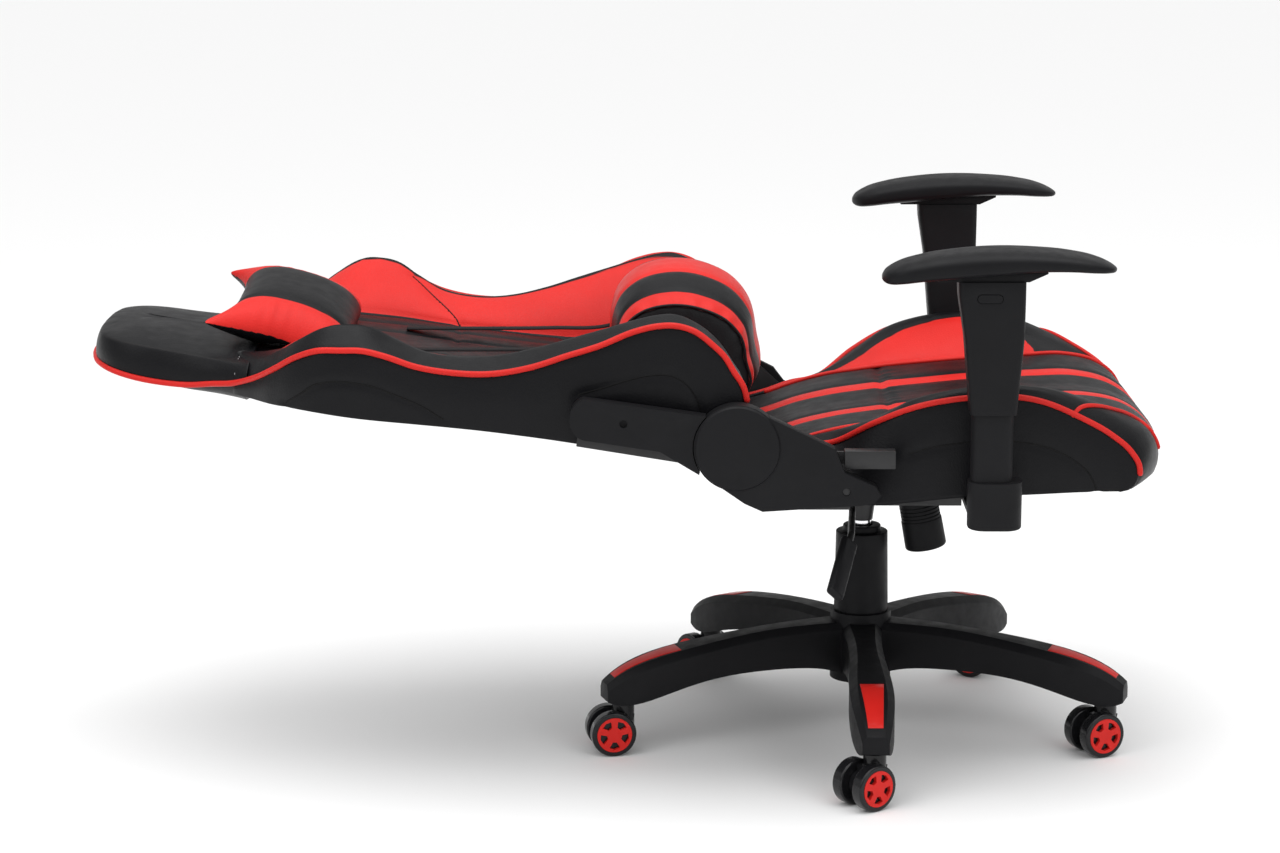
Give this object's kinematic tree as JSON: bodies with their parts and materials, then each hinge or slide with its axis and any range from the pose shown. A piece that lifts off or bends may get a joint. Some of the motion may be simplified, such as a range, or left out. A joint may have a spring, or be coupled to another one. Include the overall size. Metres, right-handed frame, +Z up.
{
  "type": "gaming chair",
  "caption": "Bucket-style office chair in black and red with star base on twin-wheel casters, gas lift, reclining back, pillows and height-adjustable armrests.",
  "frame": {"origin": "point on the floor directly under the gas lift's axis", "axes": "+X forward, the way the sitter faces; +Y to the sitter's left; +Z up"},
  "size_m": [1.2371, 0.686, 0.6271],
  "materials": {
    "base_nylon": "satin",
    "red_plastic": "satin",
    "wheel_nylon": "gloss",
    "black_steel": "satin",
    "chrome_rod": "polished",
    "bare_steel": "satin",
    "seat_board": "matte",
    "cover_plastic": "matte",
    "pad_polyurethane": "satin",
    "black_upholstery": "satin",
    "red_upholstery": "satin",
    "strap_webbing": "matte"
  },
  "bodies": {
    "base": {"star_base": "base_nylon", "base_inlays": "red_plastic", "gas_column": "black_steel", "lift_cover": "base_nylon"},
    "caster_swivel_1": {"caster_fork_1": "wheel_nylon"},
    "caster_wheel_1": {"caster_wheels_1": "wheel_nylon", "caster_caps_1": "red_plastic"},
    "caster_swivel_2": {"caster_fork_2": "wheel_nylon"},
    "caster_wheel_2": {"caster_wheels_2": "wheel_nylon", "caster_caps_2": "red_plastic"},
    "caster_swivel_3": {"caster_fork_3": "wheel_nylon"},
    "caster_wheel_3": {"caster_wheels_3": "wheel_nylon", "caster_caps_3": "red_plastic"},
    "caster_swivel_4": {"caster_fork_4": "wheel_nylon"},
    "caster_wheel_4": {"caster_wheels_4": "wheel_nylon", "caster_caps_4": "red_plastic"},
    "caster_swivel_5": {"caster_fork_5": "wheel_nylon"},
    "caster_wheel_5": {"caster_wheels_5": "wheel_nylon", "caster_caps_5": "red_plastic"},
    "lift_column": {"gas_piston": "chrome_rod"},
    "mechanism": {"mechanism_housing": "black_steel", "spring_housing": "cover_plastic", "tension_spring": "bare_steel"},
    "tension_knob": {"tension_knob": "cover_plastic"},
    "lift_lever": {"lift_lever_rod": "black_steel", "lift_lever_handle": "cover_plastic"},
    "seat": {"seat_plate": "black_steel", "tilt_shaft": "bare_steel", "seat_pan": "seat_board", "seat_cushion": "black_upholstery", "seat_bolster_right": "black_upholstery", "seat_bolster_left": "black_upholstery", "recliner_core": "bare_steel", "seat_bracket_right": "black_steel", "seat_bracket_left": "black_steel", "hinge_cover_right": "cover_plastic", "hinge_cover_left": "cover_plastic", "hinge_pins": "black_steel", "arm_post_right": "cover_plastic", "arm_post_left": "cover_plastic", "arm_struts": "black_steel"},
    "recline_lever": {"recline_lever": "black_steel"},
    "back": {"back_bracket_right": "black_steel", "back_bracket_left": "black_steel", "back_cover_right": "cover_plastic", "back_frame": "black_steel", "back_shell": "black_upholstery", "back_cushion": "black_upholstery", "back_bolster_right": "black_upholstery", "back_bolster_left": "black_upholstery", "headrest": "black_upholstery", "lumbar_pillow": "red_upholstery", "lumbar_straps": "strap_webbing", "head_pillow": "black_upholstery"},
    "arm_slide_right": {"arm_sleeve_right": "cover_plastic", "arm_pad_right": "pad_polyurethane"},
    "arm_button_right": {"arm_button_right": "cover_plastic"},
    "arm_slide_left": {"arm_sleeve_left": "cover_plastic", "arm_pad_left": "pad_polyurethane"},
    "arm_button_left": {"arm_button_left": "cover_plastic"}
  },
  "joints": [
    {"name": "caster_swivel_1", "type": "hinge", "parent": "base", "child": "caster_swivel_1", "pos_m": [0, -0.296, 0.055], "axis": [0, 0, 1], "continuous": true},
    {"name": "caster_roll_1", "type": "hinge", "parent": "caster_swivel_1", "child": "caster_wheel_1", "pos_m": [-0.01198, -0.30503, 0.0263], "axis": [-0.6018, 0.7986, 0], "continuous": true},
    {"name": "caster_swivel_2", "type": "hinge", "parent": "base", "child": "caster_swivel_2", "pos_m": [0.28151, -0.09147, 0.055], "axis": [0, 0, 1], "continuous": true},
    {"name": "caster_roll_2", "type": "hinge", "parent": "caster_swivel_2", "child": "caster_wheel_2", "pos_m": [0.26803, -0.09804, 0.0263], "axis": [-0.4384, 0.8988, 0], "continuous": true},
    {"name": "caster_swivel_3", "type": "hinge", "parent": "base", "child": "caster_swivel_3", "pos_m": [0.17398, 0.23947, 0.055], "axis": [0, 0, 1], "continuous": true},
    {"name": "caster_roll_3", "type": "hinge", "parent": "caster_swivel_3", "child": "caster_wheel_3", "pos_m": [0.16099, 0.24697, 0.0263], "axis": [0.5, 0.866, 0], "continuous": true},
    {"name": "caster_swivel_4", "type": "hinge", "parent": "base", "child": "caster_swivel_4", "pos_m": [-0.17398, 0.23947, 0.055], "axis": [0, 0, 1], "continuous": true},
    {"name": "caster_roll_4", "type": "hinge", "parent": "caster_swivel_4", "child": "caster_wheel_4", "pos_m": [-0.18322, 0.25129, 0.0263], "axis": [0.788, 0.6157, 0], "continuous": true},
    {"name": "caster_swivel_5", "type": "hinge", "parent": "base", "child": "caster_swivel_5", "pos_m": [-0.28151, -0.09147, 0.055], "axis": [0, 0, 1], "continuous": true},
    {"name": "caster_roll_5", "type": "hinge", "parent": "caster_swivel_5", "child": "caster_wheel_5", "pos_m": [-0.29618, -0.09459, 0.0263], "axis": [-0.2079, 0.9781, 0], "continuous": true},
    {"name": "gas_lift", "type": "slide", "parent": "base", "child": "lift_column", "axis": [0, 0, 1], "range_m": [0, 0.08]},
    {"name": "seat_swivel", "type": "hinge", "parent": "lift_column", "child": "mechanism", "pos_m": [0, 0, 0.29], "axis": [0, 0, 1], "continuous": true},
    {"name": "seat_tilt", "type": "hinge", "parent": "mechanism", "child": "seat", "pos_m": [0.035, 0, 0.3], "axis": [0, -1, 0], "range_deg": [0, 12], "stiffness_Nm_per_rad": 300, "springref_deg": -17.19},
    {"name": "tension_turn", "type": "hinge", "parent": "mechanism", "child": "tension_knob", "pos_m": [0.066, 0, 0.2795], "axis": [0.1821, 0, -0.9833], "range_deg": [-720, 720]},
    {"name": "lift_lever_pull", "type": "hinge", "parent": "mechanism", "child": "lift_lever", "pos_m": [-0.014, -0.0585, 0.29], "axis": [-1, 0, 0], "range_deg": [0, 5], "stiffness_Nm_per_rad": 3, "springref_deg": -11.46},
    {"name": "backrest_recline", "type": "hinge", "parent": "seat", "child": "back", "pos_m": [-0.154, 0, 0.402], "axis": [0, 1, 0], "range_deg": [0, 75]},
    {"name": "recline_release", "type": "hinge", "parent": "seat", "child": "recline_lever", "pos_m": [-0.074, -0.2587, 0.387], "axis": [0, -1, 0], "range_deg": [0, 12], "stiffness_Nm_per_rad": 2, "springref_deg": -17.19},
    {"name": "armrest_height_right", "type": "slide", "parent": "seat", "child": "arm_slide_right", "axis": [0, 0, 1], "range_m": [-0.07, 0]},
    {"name": "armrest_button_right", "type": "slide", "parent": "arm_slide_right", "child": "arm_button_right", "axis": [0, 1, 0], "range_m": [0, 0.0025], "stiffness_N_per_m": 800, "springref_m": -0.001},
    {"name": "armrest_height_left", "type": "slide", "parent": "seat", "child": "arm_slide_left", "axis": [0, 0, 1], "range_m": [-0.07, 0]},
    {"name": "armrest_button_left", "type": "slide", "parent": "arm_slide_left", "child": "arm_button_left", "axis": [0, -1, 0], "range_m": [0, 0.0025], "stiffness_N_per_m": 800, "springref_m": -0.001}
  ]
}
